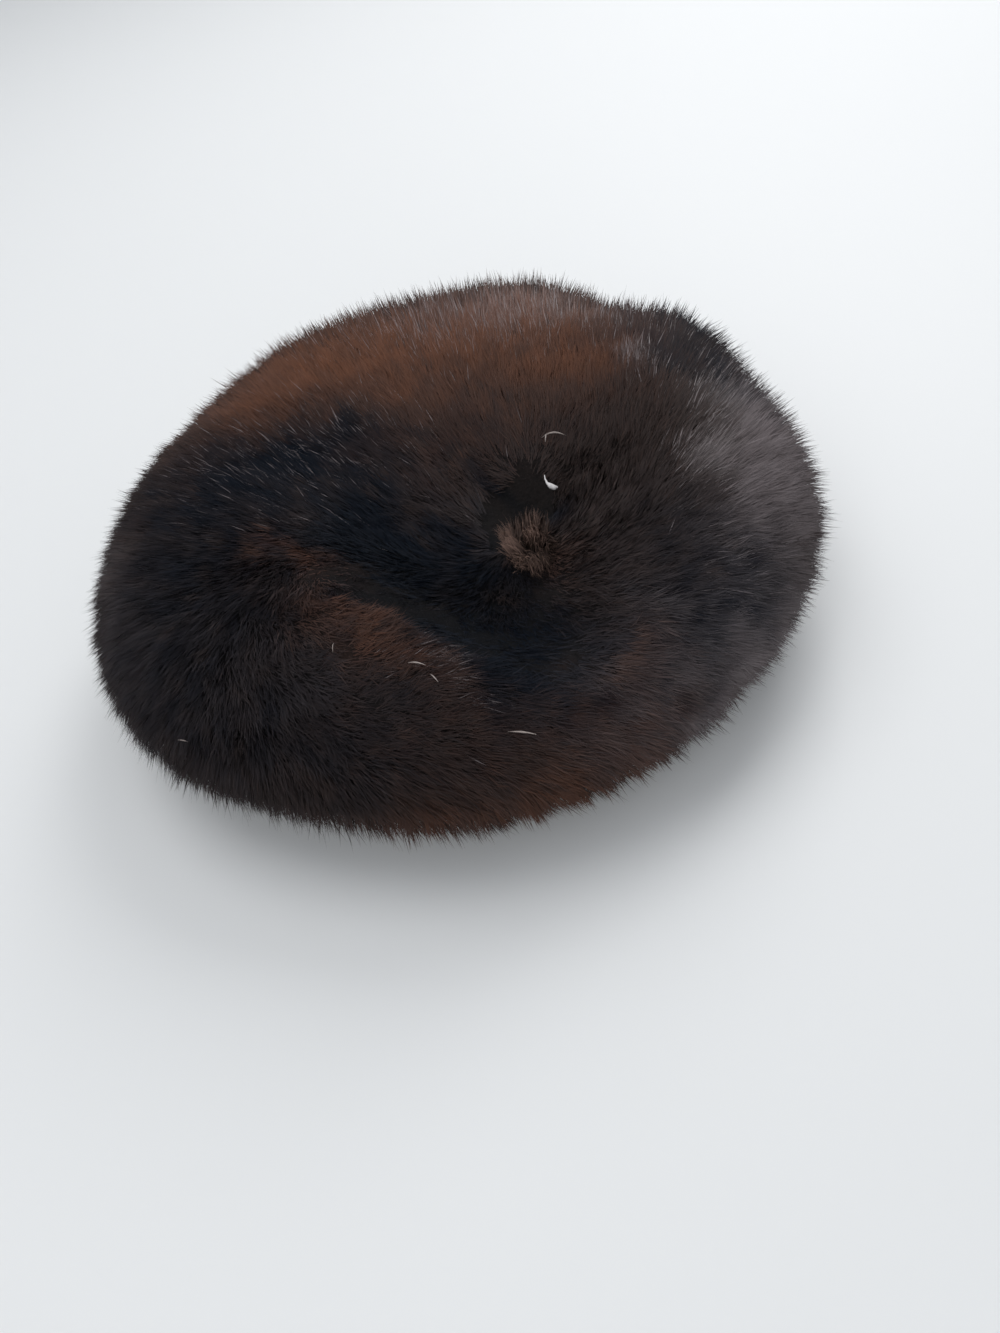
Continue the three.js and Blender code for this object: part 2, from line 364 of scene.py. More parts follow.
def make_floor():
    bend = np.linspace(0, math.pi / 2, FLOOR_CURVE_STEPS)
    reach = [*FLOOR_RINGS, *(FLOOR_FLAT + FLOOR_CURVE * np.sin(bend)), FLOOR_FLAT + FLOOR_CURVE]
    height = [*(0 for ring in FLOOR_RINGS), *(FLOOR_CURVE * (1 - np.cos(bend))), FLOOR_WALL]
    turns = np.arange(FLOOR_SIDES) * 2 * math.pi / FLOOR_SIDES
    corners = [(0, 0, 0)]
    for r, h in zip(reach, height):
        corners += [(r * math.cos(turn), r * math.sin(turn), h) for turn in turns]
    faces = []
    for ring in range(len(reach)):
        first = 1 + ring * FLOOR_SIDES
        for side in range(FLOOR_SIDES):
            here, beside = first + side, first + (side + 1) % FLOOR_SIDES
            inward = (beside - FLOOR_SIDES, here - FLOOR_SIDES) if ring else (0,)
            faces.append((here, beside, *inward))
    floor = add_object("floor", smooth_mesh("floor", corners, faces))
    material, _, shader = new_material("pale floor")
    fill(shader, {"Base Color": (0.80, 0.81, 0.815, 1), "Roughness": 0.55})
    floor.data.materials.append(material)
    floor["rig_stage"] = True
    return floor


floor = make_floor()
print("floor of", len(floor.data.polygons), "faces")

# %% Lights
LIGHTS = table(
    "name x y z size power",
    ("window light", 0.75, 1.05, 1.15, 0.9, 12.0),
    ("ceiling light", -0.35, 0.35, 1.5, 1.0, 6.0),
    ("front fill", -0.5, -1.3, 1.0, 1.2, 6.0),
)
WORLD_COLOUR = (0.93, 0.96, 1.0, 1)
WORLD_STRENGTH = 0.5


def make_lights():
    for name, x, y, z, size, power in zip(*LIGHTS.values()):
        data = bpy.data.lights.new(name, "AREA")
        data.size = size
        data.energy = power
        lamp = add_object(name, data)
        place = Vector((x, y, z))
        lamp.location = place
        lamp.rotation_euler = (-place).to_track_quat("-Z", "Y").to_euler()
    world = bpy.data.worlds.new("soft room")
    world.use_nodes = True
    fill(world.node_tree.nodes["Background"], {"Color": WORLD_COLOUR, "Strength": WORLD_STRENGTH})
    bpy.context.scene.world = world
    bpy.context.scene.view_settings.view_transform = "Standard"


make_lights()
print(len(LIGHTS["name"]), "lights")

# %% [markdown]
# ## Shared effects
# Soft uneven colour shows on the fur, the underfur and the hide, each at its own scale. It is one node group
# with named inputs, so that each material only sets its values. The group gives out a mask and nothing
# else, and the shaders stay in the materials.


# %% Helpers for nodes
def new_node(tree, kind, inputs=None, **settings):
    """A shader node, with its settings made and its inputs filled."""
    node = tree.nodes.new(f"ShaderNode{kind}")
    for name, value in settings.items():
        setattr(node, name, value)
    fill(node, inputs or {})
    return node


def new_group(name, inputs, outputs):
    """A node group with its sockets, and its input and output nodes."""
    group = bpy.data.node_groups.new(name, "ShaderNodeTree")
    for label, kind, value in inputs:
        group.interface.new_socket(name=label, in_out="INPUT", socket_type=kind).default_value = value
    for label, kind in outputs:
        group.interface.new_socket(name=label, in_out="OUTPUT", socket_type=kind)
    return group, group.nodes.new("NodeGroupInput").outputs, group.nodes.new("NodeGroupOutput")


def mix_colours(tree, share, first, second):
    """A mix of two colours, each a colour or a socket."""
    first, second = ((*colour, 1) if isinstance(colour, tuple) else colour for colour in (first, second))
    return new_node(tree, "Mix", {"Factor": share, 6: first, 7: second}, data_type="RGBA").outputs[2]


def map_range(tree, value, to_low, to_high, low=0.0, high=1.0):
    ends = {"From Min": low, "From Max": high, "To Min": to_low, "To Max": to_high}
    return new_node(tree, "MapRange", {"Value": value, **ends}).outputs["Result"]


def bumps(tree, height, strength, depth_mm):
    inputs = {"Strength": strength, "Distance": depth_mm * MM, "Height": height}
    return new_node(tree, "Bump", inputs).outputs["Normal"]


# %% Node group: mottle
MIDDLE_GREY = 0.5
MOTTLE_INPUTS = (("Scale", 60.0), ("Detail", 3.0), ("Contrast", 0.5))


def make_mottle():
    inputs = [(name, "NodeSocketFloat", value) for name, value in MOTTLE_INPUTS]
    group, given, result = new_group("mottle", inputs, [("Mask", "NodeSocketFloat")])
    place = new_node(group, "TexCoord").outputs["Object"]
    noise = new_node(group, "TexNoise", {"Vector": place, "Scale": given["Scale"], "Detail": given["Detail"]})
    centred = new_node(group, "Math", {0: noise.outputs["Fac"], 1: MIDDLE_GREY}, operation="SUBTRACT")
    spread = {0: centred.outputs[0], 1: given["Contrast"], 2: MIDDLE_GREY}
    mask = new_node(group, "Math", spread, operation="MULTIPLY_ADD", use_clamp=True)
    fill(result, {"Mask": mask.outputs[0]})
    return group


def place_mottle(tree, scale, detail, contrast):
    inputs = {"Scale": scale, "Detail": detail, "Contrast": contrast}
    return new_node(tree, "Group", inputs, node_tree=MOTTLE).outputs["Mask"]


MOTTLE = make_mottle()
print("node group:", MOTTLE.name)

# %% [markdown]
# ## Hide
# The hide is thin dressed skin, pale buff and matt, with a fine grain. It only shows from below, through the
# head opening. A cloth simulation would give the same smooth bag, so the wall is grown from the form: a
# layer outside, a layer inside, and a seam between them. The edge at the opening is turned back on itself.


# %% Walls grown from the form
def wall_mesh(name, ways, columns, outside_depth, inside_depth):
    """Closed wall between two layers of the hat, with a pole where it starts at the gather."""
    has_pole = ways[0] == 0
    rings = ways[1:] if has_pole else ways
    angles, places = np.meshgrid(np.arange(columns) * 2 * math.pi / columns, rings)
    layers = [layer_mm(angles, places, depth(angles, places)).reshape(-1, 3)
              for depth in (outside_depth, inside_depth)]
    count = len(rings) * columns
    corner = np.arange(2 * count).reshape(2, len(rings), columns)
    beside = np.roll(corner, -1, axis=2)
    outer, inner = corner
    outer_beside, inner_beside = beside

    def quads(a, b, c, d):
        return np.stack([a, b, c, d], -1).reshape(-1, 4).tolist()

    faces = quads(outer[:-1], outer[1:], outer_beside[1:], outer_beside[:-1])
    faces += quads(inner[:-1], inner_beside[:-1], inner_beside[1:], inner[1:])
    faces += quads(outer[-1], inner[-1], inner_beside[-1], outer_beside[-1])
    points = np.concatenate(layers)
    if has_pole:
        zero = np.zeros(1)
        tops = [layer_mm(zero, zero, depth(zero, zero)) for depth in (outside_depth, inside_depth)]
        points = np.concatenate([points, *tops])
        faces += [(2 * count, a, b) for a, b in zip(outer[0].tolist(), outer_beside[0].tolist())]
        faces += [(2 * count + 1, b, a) for a, b in zip(inner[0].tolist(), inner_beside[0].tolist())]
    else:
        faces += quads(outer[0], outer_beside[0], inner_beside[0], inner[0])
    return smooth_mesh(name, in_frame(points).tolist(), faces)


def pile_depth(angle, way):
    return section_value(way, "pile")


def hide_outside(angle, way):
    return pile_depth(angle, way) + GAP


def hide_inside(angle, way):
    return hide_outside(angle, way) + HIDE_THICKNESS


def turned_inside(angle, way):
    turned = smoothstep(way, TURNED_EDGE_START - TURNED_EDGE_STEP, TURNED_EDGE_START)
    return hide_inside(angle, way) + HIDE_THICKNESS * turned


# %% Hide material
BUFF, PALE_BUFF, STAIN = (0.50, 0.385, 0.26), (0.60, 0.49, 0.36), (0.36, 0.25, 0.16)


def make_hide_material():
    material, tree, shader = new_material("dressed hide")
    broad = place_mottle(tree, 28.0, 3.0, 1.6)
    fine = place_mottle(tree, 900.0, 4.0, 1.2)
    blotches = map_range(tree, place_mottle(tree, 45.0, 3.0, 1.8), 0.0, 0.35, low=0.4)
    colour = mix_colours(tree, blotches, mix_colours(tree, broad, BUFF, PALE_BUFF), STAIN)
    normal = bumps(tree, fine, strength=0.35, depth_mm=0.3)
    fill(shader, {"Base Color": colour, "Roughness": map_range(tree, fine, 0.72, 0.9), "Normal": normal})
    return material


HIDE = make_hide_material()


# %% Make the hide
WALL_COLUMNS = 128
HIDE_STEPS, DOWN_STEPS = (34, 40), (40, 24)  # rows of the crown's wall and of the underside's
SEAM_SHARE = 0.002  # half the gap at the rim, as a share of the way


def make_wall(name, start, end, steps, outside, inside, material, slot, *stands_for):
    wall = add_object(name, wall_mesh(name, np.linspace(start, end, steps), WALL_COLUMNS, outside, inside))
    hand_over(wall, material, slot, *stands_for)
    print(name, "has", len(wall.data.polygons), "faces")
    return wall


make_wall("crown_skin", 0, 1 - SEAM_SHARE, HIDE_STEPS[0], hide_outside, hide_inside, HIDE,
          "hide", "crown_hide")
make_wall("underside_skin", 1 + SEAM_SHARE, 2, HIDE_STEPS[1], hide_outside, turned_inside, HIDE,
          "hide", "underside_hide")

# %% [markdown]
# ## Underfur
# Between the long guard hairs a dense, dull down fills the pile. Strand by strand it would cost millions of
# faces and hardly show, so it is one lumpy wall that reaches about half way up the pile. It is dark mostly
# with painted shade of the deep pile, with some of the fur's tones mixed in. It stops any view through the
# strands down to the hide.


# %% Slow and fast waves that vary the fur
def make_waves(seed, length, count=9, spread=(0.6, 1.5)):
    """A smooth repeatable noise of about -1 to 1, from a few waves of about that length in millimetres."""
    rng = np.random.default_rng(seed)
    turns = unit(rng.normal(size=(count, 3))) * (2 * math.pi / length) * rng.uniform(*spread, (count, 1))
    starts = rng.uniform(0, 2 * math.pi, count)
    return lambda points: np.sin(points @ turns.T + starts).sum(-1) / math.sqrt(count)


DOWN_LUMPS = make_waves(3, 5.0)
DOWN_SHARE = 0.44  # how far down the pile the down starts
PRESSED_DOWN_SHARE = 0.74  # and where the fur lies pressed under the resting hat
PRESSED_START, PRESSED_FULL = 1.05, 1.45
LUMP = 0.5


def down_top(angle, way):
    lumps = DOWN_LUMPS(surface_mm(angle, way)) * LUMP
    pressed = smoothstep(way, PRESSED_START, PRESSED_FULL)
    share = DOWN_SHARE + (PRESSED_DOWN_SHARE - DOWN_SHARE) * pressed
    return section_value(way, "pile") * share + lumps


# %% Tones of the fur, with painted light and shade
# Where the fur is darker, redder or paler, by its own colour and by painted shade, painted light and painted
# sheen: soft spots in millimetres from the middle of the rim, each with the way that it runs, its half sizes
# across the hat and up it, and its strength.
SPOT_COLUMNS = "name x y z turn along across tall strength"
# Redder fur: partly the fur's own chestnut colour, partly painted light where the back, the ridge and the
# front rim catch the light.
CHESTNUT_AND_LIT_SPOTS = table(
    SPOT_COLUMNS,
    ("back left", -46, 68, 82, 20, 42, 28, 30, 0.66),
    ("back middle", 3, 52, 88, -15, 54, 26, 30, 0.74),
    ("back right", 60, 20, 89, -38, 36, 18, 30, 0.6),
    ("back edge", 50, 62, 87, -22, 50, 22, 26, 0.8),
    ("ridge before the valley", -38, -83, 80, -56, 28, 14, 24, 0.6),
    ("ridge tip", -18, -100, 76, -50, 16, 9, 20, 0.12),
    ("above the left crease", -45, -39, 82, -50, 18, 11, 24, 0.9),
    ("behind the gather", 12, 2, 78, -10, 34, 20, 24, 0.22),
    ("before the tuft", 31, -65, 72, -60, 14, 9, 20, 0.25),
    ("front rim", 6, -136, 30, 0, 74, 14, 14, 0.42),
    ("front", -14, -120, 60, 0, 40, 18, 22, 0.14),
    ("front right rim", 34, -120, 56, 8, 26, 16, 26, 0.4),
)
# Darker fur: partly the fur's own dark stripes, partly painted shade in the valley, the hollows and creases,
# under the ridge, round the tuft and inside the parting.
DARK_AND_SHADE_SPOTS = table(
    SPOT_COLUMNS,
    ("round the gather", 20, -6, 78, -10, 44, 20, 24, 0.22),
    ("upper valley", -19, -38, 68, -50, 42, 22, 26, 1.3),
    ("below the gather", 6, -60, 65, -60, 22, 11, 20, 0.5),
    ("left of the tuft", 14, -47, 67, -62, 16, 7, 16, 1.1),
    ("lower valley", 4, -91, 67, -58, 33, 22, 26, 1.3),
    ("valley mouth", 15, -108, 64, -25, 21, 13, 22, 1.2),
    ("left hollow", -46, 12, 78, -14, 46, 24, 24, 1.1),
    ("left shoulder", -78, 2, 80, -40, 34, 24, 26, 0.75),
    ("left side", -94, -42, 72, -66, 50, 24, 30, 0.85),
    ("left of the ridge", -70, -54, 80, -60, 34, 16, 24, 0.54),
    ("left crease", -66, -26, 82, -40, 32, 16, 24, 0.5),
    ("left front", -64, -104, 58, -28, 48, 20, 28, 0.6),
    ("before the ridge", -6, -110, 72, -30, 26, 10, 20, 0.25),
    ("left wall of the valley", -23, -76, 74, -45, 26, 9, 18, 1.1),
    ("under the ridge", -8, -91, 73, -38, 23, 10, 18, 1.3),
    ("upper right puff", 106, -2, 84, -50, 46, 14, 28, 0.8),
    ("far right puff", 116, 44, 74, -60, 44, 18, 30, 0.9),
    ("left rim", -112, -56, 60, -65, 42, 18, 28, 0.65),
    ("right shoulder", 84, -84, 70, 40, 26, 12, 22, 0.55),
    ("right band", 75, -104, 60, 36, 40, 17, 26, 1.1),
    ("right of the gather", 58, -83, 78, 60, 30, 18, 24, 0.5),
    ("inside the parting", 28, -31, 66, -66, 14, 7, 24, 1.3),
)
# Painted sheen: pale grey painted where light glances off the fur, on the right side and along the back edge,
# and a faint painted haze on the dark left front and the right band.
PAINTED_SHEEN_SPOTS = table(
    SPOT_COLUMNS,
    ("right sheen", 113, -48, 77, 72, 34, 15, 28, 0.62),
    ("right edge", 126, -50, 58, 70, 50, 16, 26, 0.34),
    ("front right edge", 86, -112, 40, 42, 44, 10, 20, 0.55),
    ("front right", 54, -114, 54, 14, 36, 22, 26, 0.2),
    ("left front haze", -84, -74, 64, -45, 60, 32, 40, 0.066),
    ("right band haze", 76, -92, 66, 50, 46, 24, 30, 0.045),
    ("left edge", -122, -10, 64, -85, 40, 12, 24, 0.12),
    ("under the sheen", 92, -70, 78, 60, 18, 10, 20, 0.3),
    ("right of the tuft", 39, -54, 74, 0, 18, 16, 20, 0.06),
    ("back left edge", -72, 66, 76, 20, 30, 14, 24, 0.06),
    ("streak at the back", 83, 4, 89, -50, 10, 4, 14, 0.12),
    ("back edge", 48, 68, 87, -22, 44, 20, 26, 0.19),
)
# Painted glints: single hairs painted pale where they catch the light.
GLINT_SPOTS = table(
    SPOT_COLUMNS,
    ("left hollow", -46, 18, 78, -16, 40, 24, 24, 0.07),
    ("ridge tip", -17, -106, 77, -20, 13, 8, 12, 0.22),
    ("streak at the back", 83, 4, 89, -50, 11, 4, 12, 0.5),
    ("right sheen", 109, -48, 78, 72, 42, 18, 30, 0.6),
    ("back edge", 40, 70, 87, -20, 60, 20, 24, 0.35),
)
FUR_AND_LIGHT_TONES = {"chestnut": CHESTNUT_AND_LIT_SPOTS, "dark": DARK_AND_SHADE_SPOTS, "painted_sheen": PAINTED_SHEEN_SPOTS, "glint": GLINT_SPOTS}
TONES = ("chestnut", "dark", "painted_sheen")  # those that colour every material with fur
TONE_WARP = [make_waves(seed, 34.0) for seed in (21, 22, 23)]
TONE_WARP_REACH = 5.0  # the edges of the spots wander this far
TONE_STREAKS = {tone: make_waves(seed, 9.0) for seed, tone in enumerate(FUR_AND_LIGHT_TONES, 31)}
TONE_UNEVEN, TONE_LEAST = 0.45, 0.1


def tone_strength(points, tone):
    """How strongly a tone shows at each point."""
    points = points + np.stack([wave(points) for wave in TONE_WARP], -1) * TONE_WARP_REACH
    spots = FUR_AND_LIGHT_TONES[tone]
    left = np.ones(len(points))
    for row, (strength, near) in enumerate(spots_near(points, spots, "strength")):
        up = (points[:, 2] - spots["z"][row]) / spots["tall"][row]
        left = left * (1 - np.minimum(near * np.exp(-(up**2)) * strength, 1))
    return 1 - left ** np.maximum(1 + TONE_UNEVEN * TONE_STREAKS[tone](points), TONE_LEAST)


print("spots of each tone:", {tone: len(spots["name"]) for tone, spots in FUR_AND_LIGHT_TONES.items()})

# %% [markdown]
# Each material that shows fur reads the same three tones from the mesh, painted shade and painted sheen among
# them. Mixing them into a colour is the second shared group.


# %% Node group: toned colour, with painted light and shade
# Near black colours dark fur and painted shade, the pale grey is painted sheen, and chestnut is partly
# painted light.
BROWN, CHESTNUT = (0.041, 0.031, 0.029), (0.155, 0.066, 0.038)
NEAR_BLACK, PAINTED_SHEEN_GREY = (0.0054, 0.0084, 0.0142), (0.25, 0.215, 0.222)


def make_toned_colour():
    colours = (("Brown", BROWN), ("Chestnut", CHESTNUT), ("Near Black", NEAR_BLACK), ("Painted Sheen", PAINTED_SHEEN_GREY))
    inputs = [("Tones", "NodeSocketColor", (0, 0, 0, 1))]
    inputs += [(name, "NodeSocketColor", (*colour, 1)) for name, colour in colours]
    group, given, result = new_group("toned colour", inputs, [("Color", "NodeSocketColor")])
    split = new_node(group, "SeparateColor", {"Color": given["Tones"]})
    colour = given["Brown"]
    for share, name in (("Red", "Chestnut"), ("Green", "Near Black"), ("Blue", "Painted Sheen")):
        colour = mix_colours(group, split.outputs[share], colour, given[name])
    fill(result, {"Color": colour})
    return group


TONED_COLOUR = make_toned_colour()
print("node group:", TONED_COLOUR.name)


def read_attribute(tree, name, output):
    return new_node(tree, "Attribute", attribute_name=name).outputs[output]


def place_toned_colour(tree):
    inputs = {"Tones": read_attribute(tree, "tones", "Color")}
    return new_node(tree, "Group", inputs, node_tree=TONED_COLOUR).outputs["Color"]


def paint_tones(mesh, points_mm):
    """Store the three tones at each corner of the mesh."""
    shares = [tone_strength(points_mm, tone) for tone in TONES]
    colours = np.stack([*shares, np.ones(len(points_mm))], -1)
    layer = mesh.attributes.new("tones", "FLOAT_COLOR", "POINT")
    layer.data.foreach_set("color", colours.astype(np.float32).ravel())


# %% Underfur material and walls
# painted shade deep in the pile: the underfur and the roots of the hairs darken towards this
DEEP_PILE_SHADE = (0.0072, 0.0070, 0.0070)


def make_down_material():
    material, tree, shader = new_material("underfur")
    lumps = place_mottle(tree, 700.0, 4.0, 2.0)
    colour = mix_colours(tree, lumps, DEEP_PILE_SHADE, place_toned_colour(tree))
    colour = mix_colours(tree, map_range(tree, lumps, 0.3, 0.8), colour, DEEP_PILE_SHADE)
    normal = bumps(tree, lumps, strength=0.8, depth_mm=0.6)
    fill(shader, {"Base Color": colour, "Roughness": 0.95, "Specular IOR Level": 0.05, "Normal": normal})
    return material


DOWN = make_down_material()
crown_down = make_wall("crown_down", 0, 1 - SEAM_SHARE, DOWN_STEPS[0], down_top, pile_depth, DOWN,
                       "crown_fur", "crown_fur")
underside_down = make_wall("underside_down", 1 + SEAM_SHARE, 2, DOWN_STEPS[1], down_top, pile_depth, DOWN,
                           "underside_fur", "underside_fur")
for wall in (crown_down, underside_down):
    paint_tones(wall.data, np.array([v.co for v in wall.data.vertices]) / MM - OFFSET)

# %% [markdown]
# ## Guard hairs
# The long glossy hairs are what the eye reads as fur. Hair curves would render well but aren't a mesh that
# can be handed on, so each hair is a narrow ribbon: a quad that rises and a pointed tip. Hairs grow in small
# clumps, and most clumps draw together a little at their tips. They are combed out from the parting at the
# gather, over the rim and in to the opening, and turned a little sideways on their way.

# %% How the fur is combed
PARTING_BACK, PARTING_FRONT = np.array((33.0, -17.5)), np.array((19.0, -45.0))
PARTING_WIDTH = 10.2
PARTING_EDGE = make_waves(14, 8.0)
PARTING_RAGGED = 0.09  # how uneven the edge of the parting is
TUFT_MIDDLE, TUFT_REACH = np.array((24.3, -56.0)), np.array((3.4, 4.0))
COMB_TURN = math.radians(22)  # how far the hairs lie to the left of the straight way out
COMB_TURN_SWING = math.radians(22)
COMB_TURN_SIDE = math.radians(-65)  # the side of the hat where they turn most
COMB_WAVES = make_waves(11, 55.0)
COMB_WAVE_TURN = math.radians(6)
COMB_SPOTS = table(
    "name x y turn along across degrees flatness stray",
    ("ridge before the valley", -32, -84, -58, 50, 26, 48, 0.55, 0.0),
    ("valley", -4, -66, -58, 60, 24, 0, 0.5, 0.0),
    ("front of the rim", 12, -110, 5, 60, 28, 24, 0.4, 0.0),
    ("left front", -62, -88, -35, 56, 34, 62, 0.4, 0.0),
    ("before the gather", 26, -66, 0, 26, 22, 0, 0.4, 0.0),
    ("back edge", 30, 84, -14, 110, 40, 0, -0.2, 1.0),
    ("right edge", 122, 0, 80, 70, 30, 0, -0.2, 0.8),
    ("left front rim", -94, -100, -48, 50, 18, 0, -0.3, 0.2),
)
FLOW_START, FLOW_FULL = 0.15, 0.5  # from straight away from the parting to along the hat
TURN_START = 0.1
TUFTED_WAVES = make_waves(12, 15.0)
TUFTED_TURN = math.radians(16)  # small areas of fur lie a little apart from their neighbours


def parting_near(points):
    """In plan: nearest place on the parting, how far off it is, and how far along the parting it lies."""
    run = PARTING_FRONT - PARTING_BACK
    share = np.clip(((points[:, :2] - PARTING_BACK) @ run) / (run @ run), 0, 1)
    nearest = PARTING_BACK + share[:, None] * run
    return nearest, np.linalg.norm(points[:, :2] - nearest, axis=-1), share


def combed(angle, way, points, along, out):
    """Direction in which the hairs lie at each point."""
    nearest = parting_near(points)[0]
    away = np.zeros_like(points)
    away[:, :2] = points[:, :2] - nearest
    away = unit(away - (away * out).sum(-1, keepdims=True) * out)
    share = smoothstep(way, FLOW_START, FLOW_FULL)[:, None]
    flow = unit(away * (1 - share) + along * share)
    turn = COMB_TURN + COMB_TURN_SWING * np.cos(angle - COMB_TURN_SIDE)
    turn = turn + COMB_WAVE_TURN * COMB_WAVES(points)
    for degrees, near in spots_near(points, COMB_SPOTS, "degrees"):
        turn = turn + math.radians(degrees) * near * (way < 1)
    turn = turn * smoothstep(way, TURN_START, FLOW_FULL) + TUFTED_TURN * TUFTED_WAVES(points)
    return flow * np.cos(turn)[:, None] + np.cross(out, flow) * np.sin(turn)[:, None]


def flattened(points):
    """How upright the hairs stay at each point, 1 where nothing presses them down."""
    left = np.ones(len(points))
    for flatness, near in spots_near(points, COMB_SPOTS, "flatness"):
        left = left * (1 - flatness * near)
    return left


def straying(points):
    """How far a few hairs stand out past the rest at each point."""
    return sum(stray * near for stray, near in spots_near(points, COMB_SPOTS, "stray"))


# %% Places spread evenly over the surface
AREA_COLUMNS, AREA_ROWS = 240, 160
WAY_LIMITS = (0.001, 1.999)


def even_places(count, start, end, rng):
    """Angles and ways spread evenly over the surface between two ways, and the area there."""
    edges = np.linspace(start, end, AREA_ROWS + 1)
    middles = (np.arange(AREA_COLUMNS) + 0.5) * 2 * math.pi / AREA_COLUMNS
    angles, ways = np.meshgrid(middles, (edges[1:] + edges[:-1]) / 2)
    step_angle, step_way = math.pi / AREA_COLUMNS, (edges[1] - edges[0]) / 2
    low, high = np.clip(ways - step_way, *WAY_LIMITS), np.clip(ways + step_way, *WAY_LIMITS)
    around = surface_mm(angles + step_angle, ways) - surface_mm(angles - step_angle, ways)
    along = surface_mm(angles, high) - surface_mm(angles, low)
    area = np.linalg.norm(np.cross(along, around), axis=-1).ravel()
    starts = (np.arange(count) + rng.uniform(0, 1, count)) / count
    cells = np.searchsorted(np.cumsum(area) / area.sum(), starts)
    cells = np.minimum(cells, area.size - 1)
    angle = angles.ravel()[cells] + rng.uniform(-1, 1, count) * step_angle
    way = ways.ravel()[cells] + rng.uniform(-1, 1, count) * step_way
    return angle, np.clip(way, *WAY_LIMITS), area.sum()


# %% Strands as one mesh
CELL_TOP, CELL_SIDE = 0.1, 0.2  # margins of a strand's own cell in the texture layout


def strand_corners(pairs):
    """Corners of a ribbon's faces, in order: quads between its pairs of points, and a tip."""
    quads = [corner for k in range(0, 2 * (pairs - 1), 2) for corner in (k, k + 2, k + 3, k + 1)]
    return np.array([*quads, 2 * pairs - 2, 2 * pairs, 2 * pairs - 1])


def strand_mesh(name, spines, sides, half_widths, normals, attributes):
    """Ribbons along spines of several points, each ending in a pointed tip, all as one mesh."""
    strands, count = spines.shape[:2]
    pairs = count - 1
    offset = sides[:, None] * half_widths[..., None]
    body = np.stack([spines[:, :-1] - offset, spines[:, :-1] + offset], 2).reshape(strands, 2 * pairs, 3)
    corners = np.concatenate([body, spines[:, -1:]], 1)
    per_strand = 2 * pairs + 1
    loops = (np.arange(strands)[:, None] * per_strand + strand_corners(pairs)).ravel()
    loops_per_strand = 4 * (pairs - 1) + 3
    face_starts = (np.arange(strands)[:, None] * loops_per_strand + 4 * np.arange(pairs)).ravel()
    mesh = bpy.data.meshes.new(name)
    mesh.vertices.add(strands * per_strand)
    mesh.vertices.foreach_set("co", in_frame(corners).astype(np.float32).ravel())
    mesh.loops.add(len(loops))
    mesh.loops.foreach_set("vertex_index", loops.astype(np.int32))
    mesh.polygons.add(len(face_starts))
    mesh.polygons.foreach_set("loop_start", face_starts.astype(np.int32))
    mesh.update(calc_edges=True)
    add_strand_layout(mesh, strands, pairs)
    to_corners = np.append(np.repeat(np.arange(pairs), 2), pairs)
    for label, values in attributes.items():
        spread = values[:, to_corners].astype(np.float32)
        kind, field = ("FLOAT_COLOR", "color") if values.ndim == 3 else ("FLOAT", "value")
        mesh.attributes.new(label, kind, "POINT").data.foreach_set(field, spread.ravel())
    mesh.shade_smooth()
    mesh.normals_split_custom_set_from_vertices(normals[:, to_corners].reshape(-1, 3).astype(np.float32))
    return mesh


def add_strand_layout(mesh, strands, pairs):
    """Texture layout in which each strand has a cell of its own."""
    columns = math.ceil(math.sqrt(strands))
    heights = np.linspace(CELL_TOP, 1 - CELL_TOP, pairs + 1)
    corners = [(side, height) for height in heights[:-1] for side in (CELL_SIDE, 1 - CELL_SIDE)]
    corners.append((0.5, heights[-1]))
    in_cell = np.array(corners)[strand_corners(pairs)]
    index = np.arange(strands)
    cells = np.stack([index % columns, index // columns], -1)
    layout = mesh.uv_layers.new(name="OFBake")
    places = (cells[:, None] + in_cell[None]) / columns
    layout.data.foreach_set("uv", places.astype(np.float32).ravel())


# %% Numbers for the hair, with lengths in millimetres
HAIRS_IN_CLUMP = 7
CLUMP_SPREAD = 0.84375
CLUMP_DRAW = (-0.05, 0.25)  # how far the tips of a clump draw together, or part where it is below 0
CLUMP_DRAW_ALONG = 0.3  # the share of it that works along the lie of the fur
ROOT_DEPTH = 0.62  # as a share of the pile
HAIR_LENGTH = 0.82  # as a share of the pile
LENGTH_SPREAD = 0.12
LONG_SHARE, LONG_EXTRA = 0.16, 0.24  # a few hairs stand out past the rest
LONG_SPREAD = (0.5, 1.3)
STRAY_SHORTER, STRAY_LONGER = 0.2, 0.34  # and further where the fur is ruffled
ROOT_LIFT, TIP_LIFT = math.radians(70), math.radians(42)
PRESSED_LIFT = 0.3  # the fur lies down where the hat rests
LIFT_SPREAD, LIFT_OWN = math.radians(9), 0.9
LIFT_WAVES = make_waves(13, 17.0)
LIFT_SWING = math.radians(7)
SIDE_SPREAD, SIDE_OWN = math.radians(19), 0.7
SWING_START = 0.4  # how much of its swing to one side a hair has at its root
SEGMENT_SHARES = np.array((0.55, 0.45))
HALF_WIDTHS = np.array((0.17, 0.155))
WIDTH_SPREAD = (0.8, 0.4)  # the least share, and what chance adds
ROLL_SPREAD = math.radians(28)
OWN_NORMAL = 0.1  # how much of a hair's own roundness shows against the lie of the fur
FOLD_LEAN = 0.5  # how far the hairs lean over with the sides of a fold
FLOOR_CLEARANCE, FLOOR_SCATTER = 0.25, 1.2
AHEAD_WAY, AHEAD_LIMIT = 0.1, 1.98  # the lie of the fur is looked up again this far on
FOLLOW = 0.8  # how far a hair bends with the hat's own roundness
BORDER_REACH, BORDER_LIFT = 18.0, -0.4  # hairs lie down round the parting
